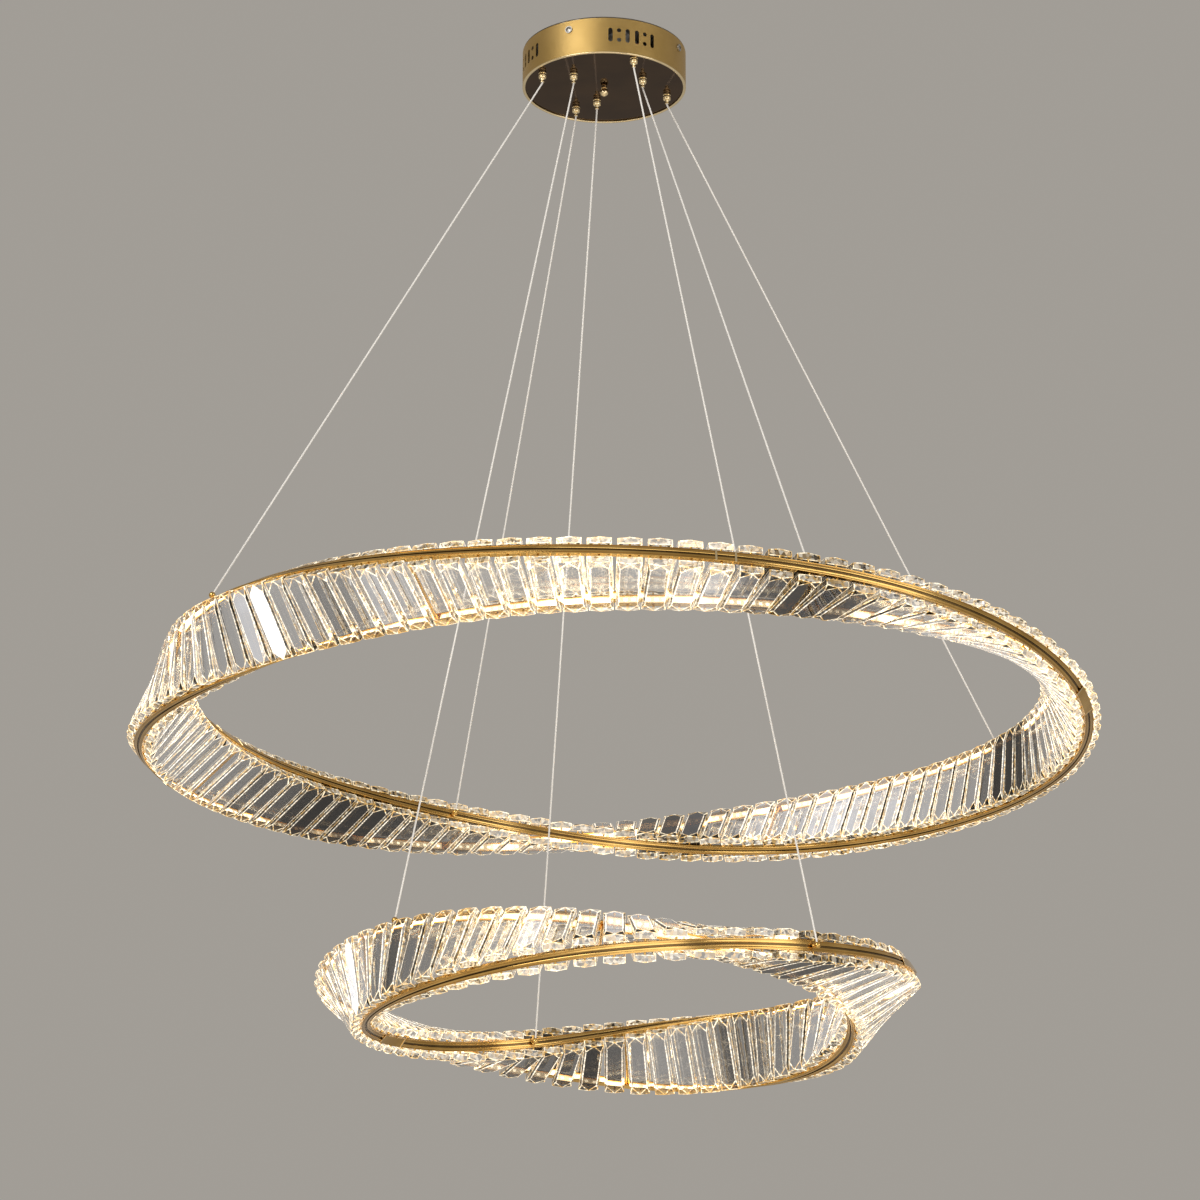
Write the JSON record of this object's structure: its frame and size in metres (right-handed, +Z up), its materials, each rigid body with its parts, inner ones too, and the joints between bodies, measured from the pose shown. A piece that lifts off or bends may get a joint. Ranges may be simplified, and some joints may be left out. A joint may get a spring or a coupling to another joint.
{
  "type": "crystal chandelier",
  "caption": "Ceiling chandelier of two twisted rings of crystal bars on gold rails, hung by thin cables from a round canopy with a mirror plate.",
  "frame": {"origin": "middle of the ceiling bracket's top face, where the canopy meets the ceiling", "axes": "+Z up into the ceiling, +X to the right and +Y away from the viewer in the picture"},
  "size_m": [1.0693, 1.0893, 1.1747],
  "materials": {
    "satin_gold": "satin",
    "polished_gold": "polished",
    "dark_mirror": "polished",
    "plated_steel": "satin",
    "white_plastic": "matte",
    "ivory_plastic": "matte",
    "wire_sleeve": "matte",
    "cable_steel": "satin",
    "light_strip": "gloss",
    "crystal": "polished"
  },
  "bodies": {
    "canopy": {"ceiling_bracket": "plated_steel", "canopy_drum": "satin_gold", "canopy_plate": "dark_mirror", "canopy_screws": "plated_steel", "led_driver_upper": "white_plastic", "led_driver_lower": "white_plastic", "terminal_block": "ivory_plastic", "mains_leads": "wire_sleeve", "output_leads": "wire_sleeve", "finial": "polished_gold", "finial_nut": "plated_steel", "gripper_nuts": "plated_steel", "gripper_1": "polished_gold", "gripper_2": "polished_gold", "gripper_3": "polished_gold", "gripper_4": "polished_gold", "gripper_5": "polished_gold", "gripper_6": "polished_gold", "gripper_7": "polished_gold"},
    "upper_ring": {"upper_rail_a_back": "polished_gold", "upper_rail_a_front": "polished_gold", "upper_rail_b_back": "polished_gold", "upper_rail_b_front": "polished_gold", "upper_joiners": "polished_gold", "upper_strip_a": "light_strip", "upper_strip_b": "light_strip", "upper_posts": "polished_gold", "upper_crystals_a": "crystal", "upper_crystals_b": "crystal", "upper_pins": "polished_gold", "upper_anchors": "polished_gold", "cable_1": "cable_steel", "cable_3": "cable_steel", "cable_6": "cable_steel", "cable_7": "cable_steel"},
    "lower_ring": {"lower_rail_a_back": "polished_gold", "lower_rail_a_front": "polished_gold", "lower_rail_b_back": "polished_gold", "lower_rail_b_front": "polished_gold", "lower_joiners": "polished_gold", "lower_strip_a": "light_strip", "lower_strip_b": "light_strip", "lower_posts": "polished_gold", "lower_crystals_a": "crystal", "lower_crystals_b": "crystal", "lower_pins": "polished_gold", "lower_anchors": "polished_gold", "cable_2": "cable_steel", "cable_4": "cable_steel", "cable_5": "cable_steel"},
    "release_sleeve_1": {"release_1": "polished_gold"},
    "release_sleeve_2": {"release_2": "polished_gold"},
    "release_sleeve_3": {"release_3": "polished_gold"},
    "release_sleeve_4": {"release_4": "polished_gold"},
    "release_sleeve_5": {"release_5": "polished_gold"},
    "release_sleeve_6": {"release_6": "polished_gold"},
    "release_sleeve_7": {"release_7": "polished_gold"}
  },
  "joints": [
    {"name": "upper_ring_lift", "type": "slide", "parent": "canopy", "child": "upper_ring", "axis": [0, 0, 1], "range_m": [0, 0.25], "deforming": ["cable_1", "cable_3", "cable_6", "cable_7"]},
    {"name": "lower_ring_lift", "type": "slide", "parent": "canopy", "child": "lower_ring", "axis": [0, 0, 1], "range_m": [0, 0.15], "deforming": ["cable_2", "cable_4", "cable_5"]},
    {"name": "release_1_press", "type": "slide", "parent": "canopy", "child": "release_sleeve_1", "axis": [0, 0, 1], "range_m": [0, 0.002], "stiffness_N_per_m": 400, "springref_m": -0.0005},
    {"name": "release_2_press", "type": "slide", "parent": "canopy", "child": "release_sleeve_2", "axis": [0, 0, 1], "range_m": [0, 0.002], "stiffness_N_per_m": 400, "springref_m": -0.0005},
    {"name": "release_3_press", "type": "slide", "parent": "canopy", "child": "release_sleeve_3", "axis": [0, 0, 1], "range_m": [0, 0.002], "stiffness_N_per_m": 400, "springref_m": -0.0005},
    {"name": "release_4_press", "type": "slide", "parent": "canopy", "child": "release_sleeve_4", "axis": [0, 0, 1], "range_m": [0, 0.002], "stiffness_N_per_m": 400, "springref_m": -0.0005},
    {"name": "release_5_press", "type": "slide", "parent": "canopy", "child": "release_sleeve_5", "axis": [0, 0, 1], "range_m": [0, 0.002], "stiffness_N_per_m": 400, "springref_m": -0.0005},
    {"name": "release_6_press", "type": "slide", "parent": "canopy", "child": "release_sleeve_6", "axis": [0, 0, 1], "range_m": [0, 0.002], "stiffness_N_per_m": 400, "springref_m": -0.0005},
    {"name": "release_7_press", "type": "slide", "parent": "canopy", "child": "release_sleeve_7", "axis": [0, 0, 1], "range_m": [0, 0.002], "stiffness_N_per_m": 400, "springref_m": -0.0005}
  ]
}
